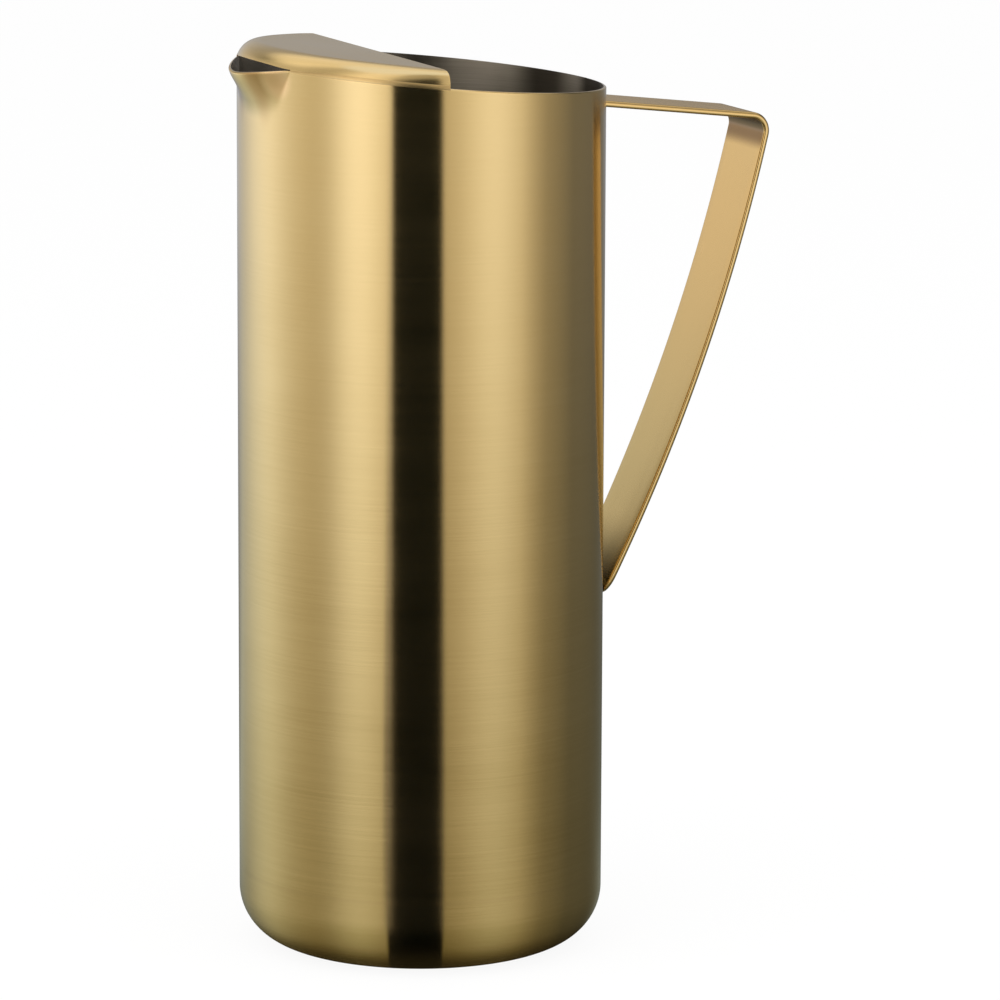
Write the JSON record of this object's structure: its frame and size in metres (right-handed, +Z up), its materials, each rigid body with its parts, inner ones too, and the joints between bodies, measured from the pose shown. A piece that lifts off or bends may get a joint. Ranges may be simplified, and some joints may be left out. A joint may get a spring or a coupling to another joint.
{
  "type": "water pitcher",
  "caption": "Tall straight-sided metal pitcher with a pulled spout, a fixed ice guard over the spout side of the slanted mouth, a rounded base corner and a bent strap handle.",
  "frame": {"origin": "middle of the flat underside, on the axis of the tube", "axes": "+Z up along the tube, +X towards the handle, -X towards the spout, the XZ plane is the mirror plane"},
  "size_m": [0.1639, 0.105, 0.2622],
  "materials": {
    "gold_sheet": "stainless sheet with a gold-coloured coating, brushed round the body to a satin sheen",
    "gold_strap": "the same coating on flat bar, brushed along its length, with eased edges",
    "gold_weld": "dressed weld metal under the same coating, slightly duller"
  },
  "bodies": {
    "root": {"body_tube": "gold_sheet", "side_seam_weld": "gold_weld", "base_pan": "gold_sheet", "base_girth_weld": "gold_weld", "ice_guard": "gold_sheet", "guard_weld_left": "gold_weld", "guard_weld_right": "gold_weld", "handle_strap": "gold_strap", "handle_upper_weld_top": "gold_weld", "handle_upper_weld_under": "gold_weld", "handle_lower_weld_inner": "gold_weld", "handle_lower_weld_outer": "gold_weld"}
  },
  "joints": []
}
